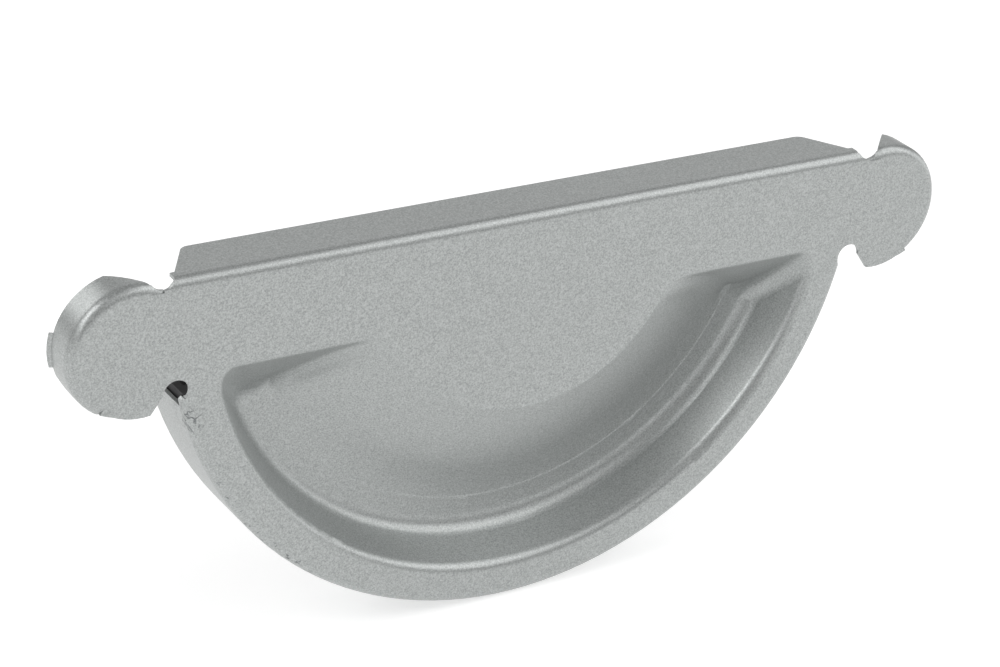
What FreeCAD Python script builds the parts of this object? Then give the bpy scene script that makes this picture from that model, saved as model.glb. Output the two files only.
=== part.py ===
import FreeCAD, Part
import math
import os
import re
import Sketcher

# Gutter end cap: one piece of coated steel sheet, blanked, pressed and folded,
# with a rubber edge seal lying in the groove behind its face.
#
# Frame: X to the right seen from the front, Y back towards the gutter, Z up.
# The origin is on the axis of the gutter, in the plane where the gutter's end
# stops in the seal. All lengths are millimetres, all angles are degrees.

SIZES = [
    # name, value, what it measures
    ("steel", "0.6", "thickness of the sheet"),
    ("bend", "1.8", "outside radius of the folds round the face"),
    ("gutter_radius", "62.5", "outside of the gutter that the cap closes"),
    ("gutter_slot", "1.0", "width of the seal's slot for the gutter's edge"),
    ("seal_lip", "1.1", "rubber outside the gutter"),
    ("seal_heel", "2.7", "rubber inside the gutter"),
    ("seal_base", "2.8", "rubber between the face and the gutter's end"),
    ("seal_leg", "6.2", "height of the seal's legs beside the gutter"),
    ("seal_chamfer", "1.2", "corner taken off the seal beside the crescent's mouth"),
    ("seal_rise", "1.9", "ends of the seal above the ends of the rim, in degrees"),
    ("seal_gap", "0.2", "clearance between the seal and the rim"),
    ("rim_depth", "13.4", "front of the face to the back edge of the rim"),
    ("rim_notch", "1.5", "angle by which the rim's fold runs on past its flange"),
    ("rim_step", "3.3", "relief's centre down to the ends of the rim"),
    ("top_rise", "6.4", "top fold above the gutter's axis"),
    ("top_depth", "10.6", "front of the face to the back edge of the top flange"),
    ("top_gap", "2.9", "end of the top flange inside the snip's centre"),
    ("top_square", "2.8", "part of the top flange's end that is square to the fold"),
    ("top_taper", "4.8", "how far the top flange's end leans in at the back"),
    ("top_corner", "2.0", "rounding of the top flange's back corners"),
    ("ear_reach", "6.0", "ear's centre outside the rim"),
    ("ear_radius", "11.3", "outside of the ear"),
    ("ear_depth", "6.4", "front of the face to the back edge of the ear's flange"),
    ("ear_sweep", "102", "reach of the ear up and down from its outermost point"),
    ("ear_fade", "56", "the same for the ear's fold on the lower side"),
    ("ear_taper", "5.2", "length over which the ear's flange runs out"),
    ("lip_sweep", "14.5", "reach of the ear's lip up and down from its outermost point"),
    ("lip_flare", "0.5", "how far the lip stands out and back"),
    ("snip_radius", "2.1", "round snip between the top flange and the ear"),
    ("snip_set", "4.3", "snip's centre inside the ear's centre"),
    ("snip_rise", "0.6", "snip's centre above the top fold"),
    ("relief_radius", "2.2", "round relief between the ear and the rim"),
    ("relief_set", "0.6", "relief's centre inside the outside of the rim"),
    ("relief_step", "3.45", "relief's centre above the foot of the ear"),
    ("mouth_margin", "6.7", "flat of the face between the crescent's wall and the rim"),
    ("mouth_bend", "2.0", "rounding of the crescent's mouth"),
    ("wall_angle", "69", "slope of the crescent's outer wall"),
    ("valley_bend", "4.3", "hollow at the bottom of the crescent"),
    ("press_depth", "9.7", "front of the face to the bottom of the crescent"),
    ("floor_run", "22.6", "bottom in to the tongue, across the sloping floor"),
    ("tongue_angle", "10", "slope of the floor where it leaves the tongue"),
    ("brow_drop", "10.1", "straight upper edge of the crescent below the gutter's axis"),
    ("brow_angle", "45", "slope of the wall below that edge"),
    ("brow_bend", "3.4", "hollow at the foot of that wall"),
]

DERIVED = [
    # name, formula, what it measures
    ("rim_radius", "=gutter_radius + seal_lip + seal_gap + steel", "outside of the rim"),
    ("seal_inner", "=gutter_radius - gutter_slot - seal_heel", "inside of the seal"),
    ("ear_place", "=rim_radius + ear_reach", "ear's centre from the middle of the cap"),
    ("ear_level", "=top_rise - ear_radius", "ear's centre above the gutter's axis"),
    ("snip_place", "=ear_place - snip_set", "snip's centre from the middle of the cap"),
    ("top_half", "=snip_place - top_gap", "half the length of the top flange at its fold"),
    ("relief_place", "=rim_radius - relief_set", "relief's centre from the middle of the cap"),
    ("relief_drop", "=ear_radius - ear_level - relief_step", "relief's centre below the gutter's axis"),
    ("rim_end", "=asin((relief_drop + rim_step) / rim_radius) / (1 deg)", "where the rim ends, below level"),
    ("mouth_radius", "=rim_radius - mouth_margin", "crescent's outer wall at the face"),
    ("wall_rise", "=press_depth - valley_bend + valley_bend * cos(wall_angle)", "straight wall's height"),
    ("wall_run", "=wall_rise / tan(wall_angle) + valley_bend * sin(wall_angle)", "bottom out to its top"),
    ("valley_radius", "=mouth_radius - wall_run", "radius at which the crescent is deepest"),
    ("tongue_radius", "=valley_radius - floor_run", "radius of the tongue"),
    # The floor is an arc that leaves the tongue at its angle and runs into the
    # hollow before the bottom without a crease
    ("hollow_drop", "=press_depth - valley_bend", "centre of that hollow behind the face"),
    ("floor_lift", "=hollow_drop * cos(tongue_angle) - floor_run * sin(tongue_angle)", "square to the slope"),
    ("floor_reach", "=floor_run ^ 2 + hollow_drop ^ 2 - valley_bend ^ 2", "power of the tongue's edge on it"),
    ("floor_sweep", "=floor_reach / (2 * (valley_bend + floor_lift))", "radius of the floor's arc"),
    ("floor_span", "=floor_sweep + valley_bend", "between the two arcs' centres"),
    ("floor_lean", "=(floor_run + floor_sweep * sin(tongue_angle)) / floor_span", "sine of its last slope"),
    ("floor_fall", "=(floor_sweep * cos(tongue_angle) - hollow_drop) / floor_span", "cosine of it"),
]
NAMES = {name for name, value, note in SIZES + DERIVED}

# Room that the cutting shapes take beyond the sheet
OVERCUT = 1.5

doc = FreeCAD.newDocument("gutter_end_cap")
sheet = doc.addObject("Spreadsheet::Sheet", "Sizes")
for row, (name, value, note) in enumerate(SIZES + DERIVED, start=1):
    sheet.set("A%d" % row, name)
    sheet.set("B%d" % row, value)
    sheet.set("C%d" % row, note)
    sheet.setAlias("B%d" % row, name)
doc.recompute()


def linked(text):
    """The expression with each size's name pointed at the spreadsheet."""
    return re.sub(r"[a-z]+(_[a-z]+)*", lambda m: "Sizes." + m[0] if m[0] in NAMES else m[0], text)


def measure(text):
    """The value of an expression in the sizes, as a plain number."""
    return float(sheet.evalExpression(linked(text)))


def bind(thing, **expressions):
    """Tie properties of an object to expressions in the sizes."""
    for name, text in expressions.items():
        thing.setExpression(name.replace("__", "."), linked(text))


def new_body(name):
    body = doc.addObject("PartDesign::Body", name)
    body.Label = name
    return body


def origin_plane(body, role):
    return next(plane for plane in body.Origin.OriginFeatures if plane.Role == role)


def new_sketch(body, name, role, lift=None):
    """A sketch on one of the body's own planes, lifted along its normal."""
    sketch = body.newObject("Sketcher::SketchObject", name)
    sketch.AttachmentSupport = (origin_plane(body, role), [""])
    sketch.MapMode = "FlatFace"
    if lift:
        bind(sketch, AttachmentOffset__Base__z=lift)
    return sketch


def arc_between(start, end, radius, turn, large):
    """Circle arc from start to end; turn is +1 anticlockwise or -1 clockwise."""
    dx, dy = end[0] - start[0], end[1] - start[1]
    chord = math.hypot(dx, dy)
    rise = math.sqrt(max(radius**2 - chord**2 / 4, 0.0)) * turn * (-1 if large else 1)
    centre = FreeCAD.Vector((start[0] + end[0]) / 2 - dy / chord * rise,
                            (start[1] + end[1]) / 2 + dx / chord * rise, 0)
    first, last = (start, end) if turn > 0 else (end, start)
    angles = [math.atan2(p[1] - centre.y, p[0] - centre.x) for p in (first, last)]
    return Part.ArcOfCircle(Part.Circle(centre, FreeCAD.Vector(0, 0, 1), radius), *angles)


def hold(sketch, kind, where, text):
    """A dimension of the sketch that follows an expression in the sizes."""
    index = sketch.addConstraint(Sketcher.Constraint(kind, *where, measure(text)))
    sketch.setExpression("Constraints[%d]" % index, linked(text))


def draw(sketch, corners):
    """Closed outline. Each corner is (x, y) followed by what leads to the next
    corner: nothing for a straight side, or (radius, turn, large) for an arc."""
    spots = [(measure(corner[0]), measure(corner[1])) for corner in corners]
    ends = []
    for index, corner in enumerate(corners):
        start, end = spots[index], spots[(index + 1) % len(spots)]
        if len(corner) == 2:
            line = Part.LineSegment(FreeCAD.Vector(*start, 0), FreeCAD.Vector(*end, 0))
            ends.append((sketch.addGeometry(line), 1, 2))
        else:
            radius, turn, large = corner[2]
            arc = sketch.addGeometry(arc_between(start, end, measure(radius), turn, large))
            ends.append((arc, 1, 2) if turn > 0 else (arc, 2, 1))
    for index, (edge, first, last) in enumerate(ends):
        after, after_first, after_last = ends[(index + 1) % len(ends)]
        sketch.addConstraint(Sketcher.Constraint("Coincident", edge, last, after, after_first))
    for corner, (edge, first, last) in zip(corners, ends):
        hold(sketch, "DistanceX", (-1, 1, edge, first), corner[0])
        hold(sketch, "DistanceY", (-1, 1, edge, first), corner[1])
        if len(corner) == 3:
            hold(sketch, "Radius", (edge,), corner[2][0])


def draw_circle(sketch, x, y, radius):
    centre = FreeCAD.Vector(measure(x), measure(y), 0)
    circle = sketch.addGeometry(Part.Circle(centre, FreeCAD.Vector(0, 0, 1), measure(radius)))
    hold(sketch, "DistanceX", (-1, 1, circle, 3), x)
    hold(sketch, "DistanceY", (-1, 1, circle, 3), y)
    hold(sketch, "Radius", (circle,), radius)


def sweep_about(body, name, sketch, axis, angle):
    """Revolution by an angle, half of it to each side of the sketch."""
    turn = body.newObject("PartDesign::Revolution", name)
    turn.Profile = sketch
    turn.ReferenceAxis = (sketch, [axis])
    turn.Midplane = True
    bind(turn, Angle=angle)
    return turn


def cut_through(body, name, sketch, side=0):
    """Pocket through the whole body: 1 along the sketch's normal, -1 against it, 0 to both sides."""
    pocket = body.newObject("PartDesign::Pocket", name)
    pocket.Profile = sketch
    pocket.Type = "ThroughAll"
    pocket.Midplane = side == 0
    pocket.Reversed = side > 0
    return pocket


# Levels along Y: the back and the front of the face
FACE_BACK = "-seal_base"
FACE_FRONT = "-seal_base - steel"


def folded_edge(level, depth, outward):
    """Section of a fold and its flange, in (Y, height) with the outside at level:
    outward is "+" if the outside is the high side, "-" if it is the low one."""
    inward = "-" if outward == "+" else "+"
    turn = -1 if outward == "+" else 1
    flat = "%s %s bend" % (level, inward)
    inside = "%s %s steel" % (level, inward)
    back = "%s + %s" % (FACE_FRONT, depth)
    bend_end = FACE_FRONT + " + bend"
    return [
        (FACE_FRONT, flat, ("bend", turn, False)),
        (bend_end, level),
        (back, level),
        (back, inside),
        (bend_end, inside, ("bend - steel", -turn, False)),
        (FACE_BACK, flat),
    ]


def turned(side):
    """An arc's description after the outline's axes are exchanged."""
    return (side[0], -side[1], side[2])


def exchange(corners):
    """An outline with its two axes exchanged, which also turns its arcs over."""
    return [(corner[1], corner[0]) + tuple(turned(side) for side in corner[2:]) for corner in corners]


def rim_spot(out, turn):
    """Place near the right end of the rim, from the rim's outside and its end."""
    return ("(rim_radius %s) * cos(rim_end %s)" % (out, turn),
            "-(rim_radius %s) * sin(rim_end %s)" % (out, turn))


def make_blank():
    """The folded sheet before pressing: face, rim, top flange and two ears."""
    body = new_body("folded_sheet")

    # Flat of the face, out to where the folds start
    face = new_sketch(body, "face_outline", "XZ_Plane", "seal_base")
    ear_foot = ("(ear_place - ear_radius * cos(180 - ear_sweep - 10))",
                "ear_level - ear_radius * sin(180 - ear_sweep - 10)")
    fold_end = ("(ear_place + (ear_radius - bend) * cos(ear_fade))",
                "ear_level - (ear_radius - bend) * sin(ear_fade)")
    flat_start = ("(ear_place + ear_radius * cos(ear_fade))", "ear_level - ear_radius * sin(ear_fade)")
    rim_head = ("((rim_radius - bend) * cos(rim_end - 3))", "-(rim_radius - bend) * sin(rim_end - 3)")
    flat_turn = ("ear_radius", -1, False)
    fold_turn = ("ear_radius - bend", -1, False)
    draw(face, [
        ("-ear_place", "top_rise - bend"),
        ("ear_place", "top_rise - bend", fold_turn),
        fold_end,
        flat_start + (flat_turn,),
        ear_foot,
        ("relief_place", "-relief_drop"),
        rim_head + (("rim_radius - bend", -1, False),),
        ("-" + rim_head[0], rim_head[1]),
        ("-relief_place", "-relief_drop"),
        ("-" + ear_foot[0], ear_foot[1], flat_turn),
        ("-" + flat_start[0], flat_start[1]),
        ("-" + fold_end[0], fold_end[1], fold_turn),
    ])
    plate = body.newObject("PartDesign::Pad", "face_plate")
    plate.Profile = face
    bind(plate, Length="steel")

    # Rim: fold and flange carried round the gutter's axis, under the face
    rim = new_sketch(body, "rim_section", "YZ_Plane")
    draw(rim, folded_edge("-rim_radius", "rim_depth", "-"))
    sweep_about(body, "rim_flange", rim, "H_Axis", "180 - 2 * (rim_end - 3)")

    # Top flange: fold and flange carried along the straight upper edge
    top = new_sketch(body, "top_section", "YZ_Plane")
    draw(top, folded_edge("top_rise", "top_depth", "+"))
    flange = body.newObject("PartDesign::Pad", "top_flange")
    flange.Profile = top
    flange.Midplane = True
    bind(flange, Length="2 * snip_place")

    # Ear: fold and flange carried round the bead of the gutter
    ear = new_sketch(body, "ear_section", "XY_Plane", "ear_level")
    draw(ear, exchange(folded_edge("(ear_place + ear_radius)", "ear_depth", "+")))
    ear_axis(ear)
    ear_flange = sweep_about(body, "ear_flange", ear, "Axis0", "ear_fade")
    ear_flange.Midplane = False
    ear_flange.Type = "TwoAngles"
    bind(ear_flange, Angle2="ear_sweep + 12")

    # Lip in the middle of the ear's flange, flared outwards
    lip = new_sketch(body, "lip_section", "XY_Plane", "ear_level")
    lip_level = FACE_FRONT + " + ear_depth"
    draw(lip, [
        ("ear_place + ear_radius - steel", lip_level),
        ("ear_place + ear_radius", lip_level),
        ("ear_place + ear_radius + lip_flare", lip_level + " + lip_flare"),
        ("ear_place + ear_radius + lip_flare - steel", lip_level + " + lip_flare"),
    ])
    ear_axis(lip)
    ear_lip = sweep_about(body, "ear_lip", lip, "Axis0", "2 * lip_sweep")

    # The ear's flange runs out towards both of its ends
    runout = new_sketch(body, "ear_runout_outline", "XY_Plane")
    ear_start = "(ear_place - ear_radius * cos(180 - ear_sweep))"
    ear_back = FACE_FRONT + " + ear_depth + %g" % OVERCUT
    draw(runout, [
        (ear_start, FACE_FRONT + " + bend / 2"),
        (ear_start + " + ear_taper", FACE_FRONT + " + ear_depth"),
        (ear_start + " + ear_taper", ear_back),
        ("snip_place - snip_radius", ear_back),
        ("snip_place - snip_radius", FACE_FRONT + " + bend / 2"),
    ])
    ear_runout = cut_through(body, "ear_runout", runout)

    # On the lower side it runs out before the fold does
    fade = new_sketch(body, "ear_fade_outline", "YZ_Plane", "rim_radius + %g" % OVERCUT)
    fade_head = "ear_level - ear_radius * sin(lip_sweep + 8)"
    fade_foot = "ear_level - ear_radius - %g" % OVERCUT
    draw(fade, [
        (FACE_FRONT + " + ear_depth", fade_head),
        (FACE_FRONT + " + bend / 2", "ear_level - ear_radius * sin(ear_fade)"),
        (FACE_FRONT + " + bend / 2", fade_foot),
        (ear_back, fade_foot),
        (ear_back, fade_head),
    ])
    ear_lower = cut_through(body, "ear_lower", fade, 1)

    # Top flange's ends: square at the fold, then leaning in, with a round corner
    lean = new_sketch(body, "top_end_outline", "XY_Plane")
    top_back = FACE_FRONT + " + top_depth"
    lean_length = "sqrt(top_taper * top_taper + (top_depth - top_square) * (top_depth - top_square))"
    corner_cut = "(top_corner * (%s - top_taper) / (top_depth - top_square))" % lean_length
    draw(lean, [
        ("top_half", FACE_FRONT + " + top_square"),
        ("top_half - top_taper * (1 - %s / %s)" % (corner_cut, lean_length),
         top_back + " - (top_depth - top_square) * %s / %s" % (corner_cut, lean_length),
         ("top_corner", 1, False)),
        ("top_half - top_taper - " + corner_cut, top_back),
        ("top_half - top_taper - " + corner_cut, top_back + " + %g" % OVERCUT),
        ("snip_place + %g" % OVERCUT, top_back + " + %g" % OVERCUT),
        ("snip_place + %g" % OVERCUT, FACE_FRONT + " + top_square"),
    ])
    top_end = cut_through(body, "top_end", lean, 1)

    # Round relief between the top flange and the ear
    snip = new_sketch(body, "snip_outline", "XZ_Plane")
    draw_circle(snip, "snip_place", "top_rise + snip_rise", "snip_radius")
    top_snip = cut_through(body, "top_snip", snip)

    # Relief between the ear and the rim: a round hole, open to the outside
    hole = new_sketch(body, "relief_outline", "XZ_Plane")
    draw_circle(hole, "relief_place", "-relief_drop", "relief_radius")
    relief = cut_through(body, "relief_hole", hole)
    gap = new_sketch(body, "relief_gap_outline", "XZ_Plane")
    ear_tip = ("(ear_place - ear_radius * cos(180 - ear_sweep))",
               "(ear_level - ear_radius * sin(180 - ear_sweep))")
    ear_side = ("(relief_place + relief_radius)", "(-relief_drop)")
    draw(gap, [
        ("relief_place", "-relief_drop"),
        rim_spot("- steel * 1.4", "- rim_notch"),
        rim_spot("+ steel", "- rim_notch"),
        rim_spot("+ 3", "+ 3"),
        ("2 * %s - %s" % (ear_tip[0], ear_side[0]), "2 * %s - %s" % (ear_tip[1], ear_side[1])),
        ear_side,
    ])
    relief_gap = cut_through(body, "relief_gap", gap)

    # The rim's flange stops short of its fold there
    stop = new_sketch(body, "flange_stop_outline", "XZ_Plane", "seal_base + steel - bend")
    draw(stop, [
        rim_spot("- steel * 1.4", "- 4"),
        rim_spot("- steel * 1.4", ""),
        rim_spot("+ 3", ""),
        rim_spot("+ 3", "- 4"),
    ])
    flange_stop = cut_through(body, "flange_stop", stop, -1)

    # The other side of the cap
    twin = body.newObject("PartDesign::Mirrored", "left_side")
    twin.Originals = [ear_flange, ear_lip, ear_runout, ear_lower, top_end, top_snip,
                      relief, relief_gap, flange_stop]
    twin.MirrorPlane = (origin_plane(body, "YZ_Plane"), [""])
    body.Tip = twin
    return body


def ear_axis(sketch):
    """Construction line through the ear's centre, along Y."""
    x = measure("ear_place")
    line = Part.LineSegment(FreeCAD.Vector(x, 0, 0), FreeCAD.Vector(x, 1, 0))
    axis = sketch.addGeometry(line, True)
    hold(sketch, "DistanceX", (-1, 1, axis, 1), "ear_place")
    hold(sketch, "DistanceY", (-1, 1, axis, 1), "0")
    hold(sketch, "DistanceX", (-1, 1, axis, 2), "ear_place")
    hold(sketch, "DistanceY", (-1, 1, axis, 2), "1")


def make_crescent(name, skin):
    """Solid that fills the pressed crescent, grown by a skin of sheet."""
    body = new_body(name)
    ahead = FACE_FRONT + " - %g" % OVERCUT
    floor_start = ("%s + %s * cos(tongue_angle)" % (FACE_FRONT, skin),
                   "-(tongue_radius - %s * sin(tongue_angle))" % skin)
    floor_ahead = "-(tongue_radius - %g / tan(tongue_angle) - %s / sin(tongue_angle))" % (OVERCUT, skin)
    wall_foot = ("%s + press_depth - valley_bend + (valley_bend + %s) * cos(wall_angle)" % (FACE_FRONT, skin),
                 "-(valley_radius + (valley_bend + %s) * sin(wall_angle))" % skin)
    wall_ahead = "-(mouth_radius + %g / tan(wall_angle) + %s / sin(wall_angle))" % (OVERCUT, skin)

    hollow = "(valley_bend + %s)" % skin
    floor_end = ("%s + hollow_drop + %s * floor_fall" % (FACE_FRONT, hollow),
                 "-(valley_radius - %s * floor_lean)" % hollow)

    section = new_sketch(body, name + "_section", "YZ_Plane")
    draw(section, [
        (ahead, floor_ahead),
        floor_start + (("floor_sweep - " + skin, 1, False),),
        floor_end + ((hollow, -1, False),),
        wall_foot,
        (ahead, wall_ahead),
    ])
    sweep_about(body, name + "_ring", section, "H_Axis", "180")

    # Straight wall below the crescent's upper edge
    brow = new_sketch(body, name + "_brow_outline", "YZ_Plane")
    edge = "-brow_drop + %s / sin(brow_angle)" % skin
    reach = "%g" % (2 * OVERCUT)
    depth = "(press_depth + %s)" % reach
    draw(brow, [
        ("%s - %s" % (FACE_FRONT, reach), "%s + %s / tan(brow_angle)" % (edge, reach)),
        ("%s + %s" % (FACE_FRONT, depth), "%s - %s / tan(brow_angle)" % (edge, depth)),
        ("%s + %s" % (FACE_FRONT, depth), "top_rise"),
        ("%s - %s" % (FACE_FRONT, reach), "top_rise"),
    ])
    cut = cut_through(body, name + "_brow", brow)
    doc.recompute()

    # Hollow along the foot of that wall
    level = measure(edge)
    slope = measure("1 / tan(brow_angle)")
    front = measure(FACE_FRONT)
    edges = []
    for index, edge in enumerate(cut.Shape.Edges, start=1):
        middle = edge.valueAt((edge.FirstParameter + edge.LastParameter) / 2)
        spots = [vertex.Point for vertex in edge.Vertexes] + [middle]
        on_brow = all(abs(p.z - level + (p.y - front) * slope) < 1e-4 for p in spots)
        at_front = all(abs(p.y - front + OVERCUT) < 1e-4 for p in spots)
        if on_brow and not at_front:
            edges.append("Edge%d" % index)
    fillet = body.newObject("PartDesign::Fillet", name + "_foot")
    fillet.Base = (cut, edges)
    bind(fillet, Radius="brow_bend + " + skin)
    body.Tip = fillet
    return body


def make_seal():
    """Rubber edge seal: a U section that lies in the groove inside the rim."""
    body = new_body("rim_seal")
    section = new_sketch(body, "seal_section", "YZ_Plane")
    outside = "-(rim_radius - steel - seal_gap)"
    slot_outside = "-gutter_radius"
    slot_inside = "-(gutter_radius - gutter_slot)"
    draw(section, [
        ("-seal_base", "-(seal_inner + seal_chamfer)"),
        ("-seal_base + seal_chamfer", "-seal_inner"),
        ("seal_leg", "-seal_inner"),
        ("seal_leg", slot_inside),
        ("0", slot_inside),
        ("0", slot_outside),
        ("seal_leg", slot_outside),
        ("seal_leg", outside),
        ("-seal_base + bend - steel", outside, ("bend - steel", -1, False)),
        ("-seal_base", outside + " + bend - steel"),
    ])
    body.Tip = sweep_about(body, "seal_ring", section, "H_Axis", "180 - 2 * (rim_end - seal_rise)")
    return body


def mouth_edges(shape, level):
    """Names of the edges of the crescent's mouth in the plane at this height."""
    names = []
    limit = measure("mouth_radius + 2 * steel")
    for index, edge in enumerate(shape.Edges, start=1):
        middle = edge.valueAt((edge.FirstParameter + edge.LastParameter) / 2)
        spots = [vertex.Point for vertex in edge.Vertexes] + [middle]
        in_plane = all(abs(p.y - level) < 1e-4 for p in spots)
        inside = all(math.hypot(p.x, p.z) < limit and p.z < 0 for p in spots)
        if in_plane and inside:
            names.append("Edge%d" % index)
    return names


def press(blank):
    """The folded sheet with the crescent pressed into its face."""
    back_fill = make_crescent("crescent_back", "steel")
    front_fill = make_crescent("crescent_front", "0")
    behind = doc.addObject("Part::Box", "behind_face")
    bind(behind, Length="4 * rim_radius", Width="2 * rim_depth", Height="2 * rim_radius")
    bind(behind, Placement__Base__x="-2 * rim_radius", Placement__Base__y=FACE_BACK + " - steel / 2",
         Placement__Base__z="-2 * rim_radius")
    bulge = doc.addObject("Part::Common", "bulge")
    bulge.Base = back_fill
    bulge.Tool = behind
    bulged = doc.addObject("Part::Fuse", "bulged_sheet")
    bulged.Base = blank
    bulged.Tool = bulge
    hollowed = doc.addObject("Part::Cut", "hollowed_sheet")
    hollowed.Base = bulged
    hollowed.Tool = front_fill
    doc.recompute()

    # The sheet is drawn over a round edge at the crescent's mouth
    body = new_body("end_cap")
    body.BaseFeature = hollowed
    doc.recompute()
    inner = body.newObject("PartDesign::Fillet", "mouth_inside")
    inner.Base = (body.Group[0], mouth_edges(hollowed.Shape, measure(FACE_BACK)))
    bind(inner, Radius="mouth_bend - steel")
    doc.recompute()
    outer = body.newObject("PartDesign::Fillet", "mouth_outside")
    outer.Base = (inner, mouth_edges(inner.Shape, measure(FACE_FRONT)))
    bind(outer, Radius="mouth_bend")
    body.Tip = outer
    return body


parts = [press(make_blank()), make_seal()]
doc.recompute()
for thing in doc.Objects:
    if "Invalid" in thing.State or "Error" in thing.State:
        raise RuntimeError("%s did not build: %s" % (thing.Name, thing.getStatusString()))

os.makedirs("parts", exist_ok=True)
for body in parts:
    shape = body.Shape
    if not shape.isValid() or len(shape.Solids) != 1:
        raise RuntimeError("%s is not one valid solid" % body.Label)
    shape.exportStep("parts/%s.step" % body.Label)
    box = shape.BoundBox
    size = (box.XLength, box.YLength, box.ZLength)
    print(body.Label, "volume %.1f" % shape.Volume, "size %.2f %.2f %.2f" % size)
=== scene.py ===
import math

import bpy
import numpy as np
from mathutils import Matrix, Vector


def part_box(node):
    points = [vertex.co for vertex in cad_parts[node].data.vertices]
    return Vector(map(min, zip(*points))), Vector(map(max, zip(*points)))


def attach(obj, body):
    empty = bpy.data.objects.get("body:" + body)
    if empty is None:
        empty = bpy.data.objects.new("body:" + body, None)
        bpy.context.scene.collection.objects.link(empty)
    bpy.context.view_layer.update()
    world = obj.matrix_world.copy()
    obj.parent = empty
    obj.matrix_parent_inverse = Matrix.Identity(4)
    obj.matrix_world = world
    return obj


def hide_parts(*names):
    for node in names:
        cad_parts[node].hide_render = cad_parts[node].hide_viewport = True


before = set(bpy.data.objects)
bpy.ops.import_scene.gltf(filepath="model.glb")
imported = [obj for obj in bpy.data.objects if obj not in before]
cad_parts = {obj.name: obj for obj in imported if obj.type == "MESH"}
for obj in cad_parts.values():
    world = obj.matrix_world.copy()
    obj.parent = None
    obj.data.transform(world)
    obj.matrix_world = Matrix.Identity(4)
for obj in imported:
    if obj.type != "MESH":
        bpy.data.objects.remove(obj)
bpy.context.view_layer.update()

MM = 0.001

# The photograph's view: degrees about the cap, millimetres and pixels
VIEW_AZIMUTH = -32.67
VIEW_ELEVATION = 25.98
VIEW_ROLL = 4.065
VIEW_DISTANCE = 498.66
VIEW_AIM = (-6.175, -3.4, -13.88)
FOCAL_PIXELS = 3086.26
IMAGE_WIDTH = 1000
SENSOR_WIDTH = 36

# The studio, in metres: half the floor's width, the strength of the white surroundings, and the
# softboxes with azimuth and elevation in degrees, width and height, and power in watts
FLOOR_HALF = 3.0
SKY_STRENGTH = 0.32
LAMP_DISTANCE = 1.5
SOFTBOXES = (
    ("key_right", 60, 40, (1.2, 1.3), 8.5),
    ("front_fill", 12, 42, (0.9, 0.8), 1.5),
    ("left_side", -77, 41, (0.8, 0.8), 7.0),
    ("back_left", -150, 28, (1.0, 0.8), 4.6),
    ("back_right", 147, 26, (1.2, 1.0), 1.6),
    ("low_right", 80, 6, (0.9, 0.5), 2.0),
    ("low_left", -58, 18, (0.5, 0.4), 1.0),
)

# Sizes of the grain in the finishes, in millimetres
FLAKE_SIZE = 0.25
SPECK_SIZE = 1.1
RIPPLE_SIZE = 2.2
BLOOM_SIZE = 3.0

# Wear seen in the photograph, and the painted shade of ripples in the sheet, in millimetres. The scuffs lie
# in a band round the gutter's axis, in front of a plane, and round a point. The ripples and their painted
# shade lie round another point. Each spread is the distance up to which the mark is full, and the one at
# which it ends.
SCUFF_INSIDE = 62.4
SCUFF_OUTSIDE = 63.4
SCUFF_FRONT = -2.0
SCUFF_BACK = -1.0
SCUFF_CENTRE = (-48.7, -3.0, -41.0)
SCUFF_SPREAD = (9, 17)
RIPPLE_SHADE_CENTRE = (-61.7, -2.0, -18.2)
RIPPLE_SHADE_SPREAD = (1.5, 3.8)
WEAR_AND_SHADE_STRENGTH = 0.75

# The ears, in millimetres and degrees: their centres, their outside and the back
# of the face, and how far their cut edge is drawn in at angles below their level
EAR_PLACE = 70.4
EAR_LEVEL = -4.9
EAR_RADIUS = 11.3
FACE_BACK = -2.8
EASE_ANGLES = (56, 68, 102)
EASE_DEPTHS = (0.45, 0.75, 0.3)
ANGLE_SLACK = 0.5
PLACE_SLACK = 0.01

# The crescent's section in the solid, in millimetres and radians
MOUTH_RADIUS = 57.7
MOUTH_BEND = 2.0
WALL_ANGLE = math.radians(69)
VALLEY_BEND = 4.3
PRESS_DEPTH = 9.7
FLOOR_RUN = 22.6
TONGUE_ANGLE = math.radians(10)
BROW_DROP = 10.1

# Worked out from it: the centre of the valley's bend behind the face, the wall's height and the
# radius of its foot, the radii of the valley and the tongue, the floor's arc with the radii of
# its centre and its end, and the radius where the rounding of the mouth meets the wall
BEND_DROP = PRESS_DEPTH - VALLEY_BEND
WALL_RISE = BEND_DROP + VALLEY_BEND * math.cos(WALL_ANGLE)
WALL_FOOT = MOUTH_RADIUS - WALL_RISE / math.tan(WALL_ANGLE)
VALLEY_RADIUS = WALL_FOOT - VALLEY_BEND * math.sin(WALL_ANGLE)
TONGUE_RADIUS = VALLEY_RADIUS - FLOOR_RUN
FLOOR_LIFT = BEND_DROP * math.cos(TONGUE_ANGLE) - FLOOR_RUN * math.sin(TONGUE_ANGLE)
FLOOR_SWEEP = (FLOOR_RUN ** 2 + BEND_DROP ** 2 - VALLEY_BEND ** 2) / (2 * (VALLEY_BEND + FLOOR_LIFT))
FLOOR_CENTRE = TONGUE_RADIUS - FLOOR_SWEEP * math.sin(TONGUE_ANGLE)
FLOOR_END = VALLEY_RADIUS - VALLEY_BEND * (VALLEY_RADIUS - FLOOR_CENTRE) / (FLOOR_SWEEP + VALLEY_BEND)
ROUNDING_END = MOUTH_RADIUS - MOUTH_BEND * math.tan(WALL_ANGLE / 2) * math.cos(WALL_ANGLE)

# The same section as the photograph shows it: the radii at which the straight floor turns into
# the hollow and at which the hollow is deepest, the depth there and at the wall's foot, and
# the distance below the upper edge's wall over which this section takes over
HOLLOW_START = 42.5
HOLLOW_BOTTOM = 52.0
HOLLOW_DEPTH = 8.6
FOOT_DEPTH = 6.57
TAKE_OVER = 5.0
LEAST_BROW = 0.5

# Grid on which the corners of the sheet's triangles are merged, in millimetres, and how far
# towards a triangle's middle the slope at its corners is taken
GRID = 0.0001
INSET = 0.005


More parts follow.
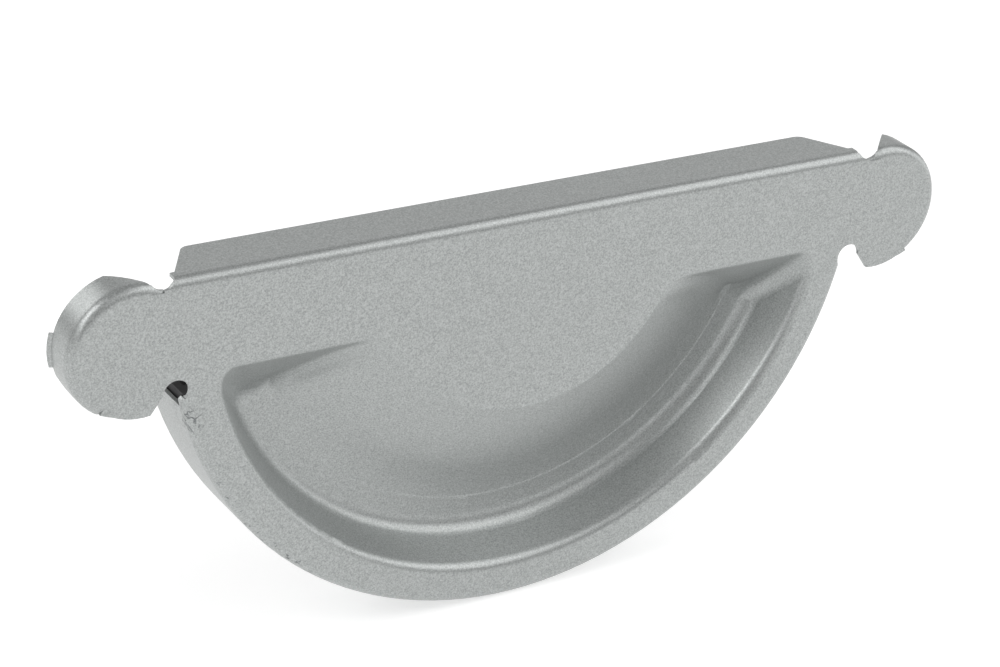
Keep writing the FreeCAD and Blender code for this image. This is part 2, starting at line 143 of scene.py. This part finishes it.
def linear(hex_colour):
    """sRGB hex value to linear RGBA."""
    channels = [int(hex_colour[i:i + 2], 16) / 255 for i in (1, 3, 5)]
    return [c / 12.92 if c <= 0.04045 else ((c + 0.055) / 1.055) ** 2.4 for c in channels] + [1.0]


def add(tree, kind, inputs=None, **settings):
    """One shader node: its settings, and for each input a fixed value or the socket that feeds it."""
    node = tree.nodes.new(kind)
    for name, value in settings.items():
        setattr(node, name, value)
    for key, value in (inputs or {}).items():
        if isinstance(value, bpy.types.NodeSocket):
            tree.links.new(value, node.inputs[key])
        else:
            node.inputs[key].default_value = value
    return node


def new_material(name):
    """Empty material and its node tree."""
    material = bpy.data.materials.new(name)
    material.use_nodes = True
    tree = material.node_tree
    tree.nodes.clear()
    return material, tree


def near(tree, place, centre, full, none):
    """1 within one distance of a point on the cap, falling to 0 at another; all in millimetres."""
    gap = add(tree, "ShaderNodeVectorMath", {0: place, 1: Vector(centre) * MM}, operation="DISTANCE")
    share = add(tree, "ShaderNodeMapRange", {"Value": gap.outputs["Value"], "From Min": full * MM,
                                             "From Max": none * MM, "To Min": 1.0, "To Max": 0.0})
    return share.outputs["Result"]


def silver_coil_coat():
    """Silver metallic coil coating on steel sheet: aluminium flake in a satin lacquer,
    so the sheet looks like a soft grey metal with a fine salt-and-pepper grain.
    It is scuffed in dark specks along the lower left of the rim's fold. Where the sheet was folded below the
    left relief it has ripples, and painted shade darkens them in thin lines."""
    material, tree = new_material("silver_coil_coat")
    place = add(tree, "ShaderNodeTexCoord").outputs["Object"]

    # Flake: real flake is finer, and is drawn in clusters large enough to show
    flake = add(tree, "ShaderNodeTexNoise", {"Vector": place, "Scale": 1 / (FLAKE_SIZE * MM), "Detail": 1.5,
                                             "Roughness": 0.6}).outputs["Fac"]
    tone = add(tree, "ShaderNodeValToRGB", {"Fac": flake})
    for end, position, colour in zip(tone.color_ramp.elements, (0.30, 0.70), ("#959897", "#bbbebd")):
        end.position = position
        end.color = linear(colour)

    # Scuffs: specks on the bend of the rim only
    flat = add(tree, "ShaderNodeVectorMath", {0: place, 1: (1, 0, 1)}, operation="MULTIPLY").outputs["Vector"]
    reach = add(tree, "ShaderNodeVectorMath", {0: flat}, operation="LENGTH").outputs["Value"]
    bend = add(tree, "ShaderNodeMapRange", {"Value": reach, "From Min": SCUFF_INSIDE * MM,
                                            "From Max": SCUFF_OUTSIDE * MM}).outputs["Result"]
    speck = add(tree, "ShaderNodeTexNoise", {"Vector": place, "Scale": 1 / (SPECK_SIZE * MM), "Detail": 3.0,
                                             "Roughness": 0.65}).outputs["Fac"]
    speck = add(tree, "ShaderNodeMapRange", {"Value": speck, "From Min": 0.60,
                                             "From Max": 0.66}).outputs["Result"]
    level = add(tree, "ShaderNodeSeparateXYZ", {"Vector": place}).outputs["Y"]
    fold = add(tree, "ShaderNodeMapRange", {"Value": level, "From Min": SCUFF_FRONT * MM,
                                            "From Max": SCUFF_BACK * MM,
                                            "To Min": 1.0, "To Max": 0.0}).outputs["Result"]
    scuff = speck
    for limit in (bend, fold, near(tree, place, SCUFF_CENTRE, *SCUFF_SPREAD)):
        scuff = add(tree, "ShaderNodeMath", {0: scuff, 1: limit}, operation="MULTIPLY").outputs["Value"]

    # Ripples: thin lines where a slow noise passes through its middle value. They are bumped, and they are
    # darkened in the colour as painted shade.
    slow = add(tree, "ShaderNodeTexNoise", {"Vector": place, "Scale": 1 / (RIPPLE_SIZE * MM), "Detail": 2.0,
                                            "Distortion": 0.6}).outputs["Fac"]
    ridge = add(tree, "ShaderNodeMath", {0: slow, 1: 0.5}, operation="SUBTRACT").outputs["Value"]
    ridge = add(tree, "ShaderNodeMath", {0: ridge}, operation="ABSOLUTE").outputs["Value"]
    line = add(tree, "ShaderNodeMapRange", {"Value": ridge, "From Min": 0.005, "From Max": 0.035,
                                            "To Min": 1.0, "To Max": 0.0}).outputs["Result"]
    ripple_and_shade = add(tree, "ShaderNodeMath", {0: line, 1: near(tree, place, RIPPLE_SHADE_CENTRE, *RIPPLE_SHADE_SPREAD)},
                 operation="MULTIPLY").outputs["Value"]

    # One dark grey is mixed in: real wear in the scuffs, and painted shade along the ripples
    wear_and_shade = add(tree, "ShaderNodeMath", {0: scuff, 1: ripple_and_shade}, operation="MAXIMUM").outputs["Value"]
    wear_and_shade = add(tree, "ShaderNodeMath", {0: wear_and_shade, 1: WEAR_AND_SHADE_STRENGTH}, operation="MULTIPLY").outputs["Value"]
    colour = add(tree, "ShaderNodeMixRGB", {"Fac": wear_and_shade, "Color1": tone.outputs["Color"],
                                            "Color2": linear("#54585a")})
    grain = add(tree, "ShaderNodeBump", {"Height": flake, "Strength": 0.05,
                                         "Distance": 0.1 * MM}).outputs["Normal"]
    ripple = add(tree, "ShaderNodeBump", {"Height": ripple_and_shade, "Strength": 0.5, "Distance": 0.2 * MM,
                                          "Normal": grain}, invert=True)
    coat = add(tree, "ShaderNodeBsdfPrincipled", {"Base Color": colour.outputs["Color"], "Metallic": 0.7,
                                                  "Roughness": 0.38, "Normal": ripple.outputs["Normal"]})
    add(tree, "ShaderNodeOutputMaterial", {"Surface": coat.outputs["BSDF"]})
    return material


def black_seal_rubber():
    """Extruded EPDM rubber: charcoal black and matt, with a faint bloom in patches of a few millimetres."""
    material, tree = new_material("black_seal_rubber")
    place = add(tree, "ShaderNodeTexCoord").outputs["Object"]
    bloom = add(tree, "ShaderNodeTexNoise", {"Vector": place, "Scale": 1 / (BLOOM_SIZE * MM), "Detail": 4.0,
                                             "Roughness": 0.6}).outputs["Fac"]
    tone = add(tree, "ShaderNodeValToRGB", {"Fac": bloom})
    for end, position, colour in zip(tone.color_ramp.elements, (0.30, 0.75), ("#222223", "#2e2e2f")):
        end.position = position
        end.color = linear(colour)
    rubber = add(tree, "ShaderNodeBsdfPrincipled", {"Base Color": tone.outputs["Color"], "Roughness": 0.75})
    add(tree, "ShaderNodeOutputMaterial", {"Surface": rubber.outputs["BSDF"]})
    return material


def white_floor():
    """White paper sweep, lifted a little by its own glow so that it stays even under the cap."""
    material, tree = new_material("white_floor")
    paper = add(tree, "ShaderNodeBsdfPrincipled", {"Base Color": linear("#d0d0d0"), "Roughness": 0.9,
                                                   "Emission Color": linear("#ffffff"),
                                                   "Emission Strength": 0.56})
    add(tree, "ShaderNodeOutputMaterial", {"Surface": paper.outputs["BSDF"]})
    return material


def half_chord(radius, offset):
    """Half the chord of a circle at an offset from its centre, by Pythagoras, and 0 outside it."""
    return np.sqrt(np.clip(radius ** 2 - offset ** 2, 0, None))


def solid_depth(r):
    """Depth of the solid's floor and hollow at a radius about the gutter's axis, in millimetres:
    an arc that leaves the tongue at its angle, and then the arc of the valley's bend."""
    floor = FLOOR_SWEEP * math.cos(TONGUE_ANGLE) - half_chord(FLOOR_SWEEP, r - FLOOR_CENTRE)
    bend = BEND_DROP + half_chord(VALLEY_BEND, r - VALLEY_RADIUS)
    return np.where(r < FLOOR_END, floor, bend)


def photo_depth(r):
    """Depth of the floor and hollow in the photograph at a radius, in millimetres: a straight slope
    from the tongue, a parabola to the bottom, and an arc from there up to the wall's foot."""
    reach = HOLLOW_BOTTOM - HOLLOW_START
    slope = HOLLOW_DEPTH / (HOLLOW_START - TONGUE_RADIUS + reach / 2)
    floor = slope * (r - TONGUE_RADIUS)
    parabola = HOLLOW_DEPTH - slope / (2 * reach) * (HOLLOW_BOTTOM - r) ** 2
    climb = HOLLOW_DEPTH - FOOT_DEPTH
    bend = ((WALL_FOOT - HOLLOW_BOTTOM) ** 2 + climb ** 2) / (2 * climb)
    arc = HOLLOW_DEPTH - bend + half_chord(bend, r - HOLLOW_BOTTOM)
    return np.where(r < HOLLOW_START, floor, np.where(r < HOLLOW_BOTTOM, parabola, arc))


def crescent_shift(x, z):
    """How much deeper the crescent lies at a place on the face than in the solid, in metres.

    It is the difference of the two depths from the tongue to the wall's foot, and falls straight
    to nothing up the wall. On the wall below the upper edge it shrinks in step with the depth
    where it is negative, and where it is positive it has faded out at that wall's foot."""
    r = np.hypot(x, z) / MM
    solid = solid_depth(r)
    wall = (FOOT_DEPTH - WALL_RISE) * (ROUNDING_END - r) / (ROUNDING_END - WALL_FOOT)
    shift = np.where(r < WALL_FOOT, photo_depth(r) - solid, wall)
    shift = np.where((r > TONGUE_RADIUS) & (r < ROUNDING_END), shift, 0)
    below = -BROW_DROP - z / MM
    brow_foot = np.where(r < VALLEY_RADIUS, np.maximum(solid, LEAST_BROW), PRESS_DEPTH)
    rising = np.clip(below / brow_foot, 0, 1)
    fading = np.clip((below - brow_foot) / TAKE_OVER, 0, 1)
    return shift * np.where(shift < 0, rising, fading ** 2 * (3 - 2 * fading)) * MM


def merged_sheet():
    """The solid's sheet as points, triangles and the directions in which the triangles' corners face.
    Corners that meet are merged on a fine grid, and triangles without area are left out."""
    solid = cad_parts["end_cap"].data
    points = np.empty(len(solid.vertices) * 3)
    solid.vertices.foreach_get("co", points)
    corners = np.empty(len(solid.loops), dtype=np.int32)
    solid.loops.foreach_get("vertex_index", corners)
    facing = np.empty(len(solid.loops) * 3)
    solid.corner_normals.foreach_get("vector", facing)

    spots = np.round(points.reshape(-1, 3) / (GRID * MM)).astype(np.int64)
    spots, merged = np.unique(spots, axis=0, return_inverse=True)
    triangles = merged.ravel()[corners].reshape(-1, 3)
    whole = (triangles != np.roll(triangles, 1, axis=1)).all(axis=1)
    return spots * (GRID * MM), triangles[whole], facing.reshape(-1, 3, 3)[whole]


def ease_ears(points):
    """Draw in the cut edge of both ears where their fold has run out. A point of it at the angle a
    below the ear's level moves along its radius from R to R - d(a), where d runs straight
    between the depths given for three angles."""
    out = np.abs(points[:, 0]) - EAR_PLACE * MM
    down = EAR_LEVEL * MM - points[:, 2]
    angle = np.degrees(np.arctan2(down, out))
    edge = np.abs(np.hypot(out, down) - EAR_RADIUS * MM) < PLACE_SLACK * MM
    edge &= (angle > EASE_ANGLES[0] - ANGLE_SLACK) & (angle < EASE_ANGLES[-1] + ANGLE_SLACK)
    edge &= points[:, 1] < (FACE_BACK + PLACE_SLACK) * MM
    shift = np.where(edge, -np.interp(angle, EASE_ANGLES, EASE_DEPTHS) / EAR_RADIUS, 0)
    points[:, 0] += np.sign(points[:, 0]) * out * shift
    points[:, 2] -= down * shift


def draw_crescent(points, triangles, facing):
    """Move both skins of the sheet back by the crescent's shift s(x, z). A direction n in which a
    corner faces becomes n less n.y times the gradient of s, taken a little inside the triangle."""
    corners = points[triangles]
    inside = (1 - INSET) * corners + INSET * corners.mean(axis=1, keepdims=True)
    x, z = inside[..., 0], inside[..., 2]
    step = GRID * MM
    turn = facing[..., 1] / (2 * step)
    facing[..., 0] -= turn * (crescent_shift(x + step, z) - crescent_shift(x - step, z))
    facing[..., 2] -= turn * (crescent_shift(x, z + step) - crescent_shift(x, z - step))
    facing /= np.linalg.norm(facing, axis=2, keepdims=True)
    points[:, 1] += crescent_shift(points[:, 0], points[:, 2])


def reshaped_cap():
    """The cap's sheet with its ears eased and its crescent drawn as the photograph shows them."""
    points, triangles, facing = merged_sheet()
    ease_ears(points)
    draw_crescent(points, triangles, facing)
    mesh = bpy.data.meshes.new("reshaped_cap")
    mesh.from_pydata(points.tolist(), [], triangles.tolist())
    mesh.polygons.foreach_set("use_smooth", np.ones(len(mesh.polygons), dtype=bool))
    mesh.normals_split_custom_set(facing.reshape(-1, 3).tolist())
    piece = bpy.data.objects.new("reshaped_cap", mesh)
    bpy.context.scene.collection.objects.link(piece)
    return piece


def dress(piece, material):
    """Give a piece one material in place of those it has."""
    slots = piece.data.materials
    slots.clear()
    slots.append(material)


def lay_floor():
    """Flat square floor under the lowest point of the cap."""
    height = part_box("end_cap")[0].z
    corners = [(x * FLOOR_HALF, y * FLOOR_HALF, height) for x, y in ((-1, -1), (1, -1), (1, 1), (-1, 1))]
    mesh = bpy.data.meshes.new("floor")
    mesh.from_pydata(corners, [], [(0, 1, 2, 3)])
    mesh.materials.append(white_floor())
    floor = bpy.data.objects.new("floor", mesh)
    bpy.context.scene.collection.objects.link(floor)


def line_of_sight(azimuth, elevation):
    """Directions from the cap to an azimuth and elevation in degrees, and level and upright across it."""
    az, el = math.radians(azimuth), math.radians(elevation)
    back = Vector((math.sin(az) * math.cos(el), -math.cos(az) * math.cos(el), math.sin(el)))
    level = Vector((0, 0, 1)).cross(back).normalized()
    return back, level, back.cross(level)


def add_softbox(name, azimuth, elevation, size, power):
    """Area light that looks at the cap from an azimuth and elevation."""
    back, level, upright = line_of_sight(azimuth, elevation)
    light = bpy.data.lights.new(name, "AREA")
    light.shape = "RECTANGLE"
    light.size, light.size_y = size
    light.energy = power
    lamp = bpy.data.objects.new(name, light)
    lamp.location = back * LAMP_DISTANCE
    lamp.rotation_euler = Matrix((level, upright, back)).transposed().to_euler()
    bpy.context.scene.collection.objects.link(lamp)


def light_world():
    """Even white surroundings."""
    world = bpy.data.worlds.new("studio")
    world.use_nodes = True
    background = world.node_tree.nodes["Background"]
    background.inputs["Color"].default_value = (1, 1, 1, 1)
    background.inputs["Strength"].default_value = SKY_STRENGTH
    bpy.context.scene.world = world


def place_camera():
    """Camera on the photograph's line of sight, turned about it by the roll."""
    back, level, upright = line_of_sight(VIEW_AZIMUTH, VIEW_ELEVATION)
    roll = math.radians(VIEW_ROLL)
    right = level * math.cos(roll) + upright * math.sin(roll)
    up = upright * math.cos(roll) - level * math.sin(roll)
    lens = bpy.data.cameras.new("camera")
    lens.sensor_width = SENSOR_WIDTH
    lens.lens = SENSOR_WIDTH * FOCAL_PIXELS / IMAGE_WIDTH
    lens.clip_start = 0.01
    camera = bpy.data.objects.new("camera", lens)
    spot = (Vector(VIEW_AIM) + back * VIEW_DISTANCE) * MM
    camera.matrix_world = Matrix.Translation(spot) @ Matrix((right, up, back)).transposed().to_4x4()
    bpy.context.scene.collection.objects.link(camera)
    bpy.context.scene.camera = camera


cap = reshaped_cap()
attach(cap, "root")
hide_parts("end_cap")
dress(cap, silver_coil_coat())
dress(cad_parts["rim_seal"], black_seal_rubber())

lay_floor()
light_world()
for softbox in SOFTBOXES:
    add_softbox(*softbox)
place_camera()
bpy.context.scene.view_settings.view_transform = "Standard"
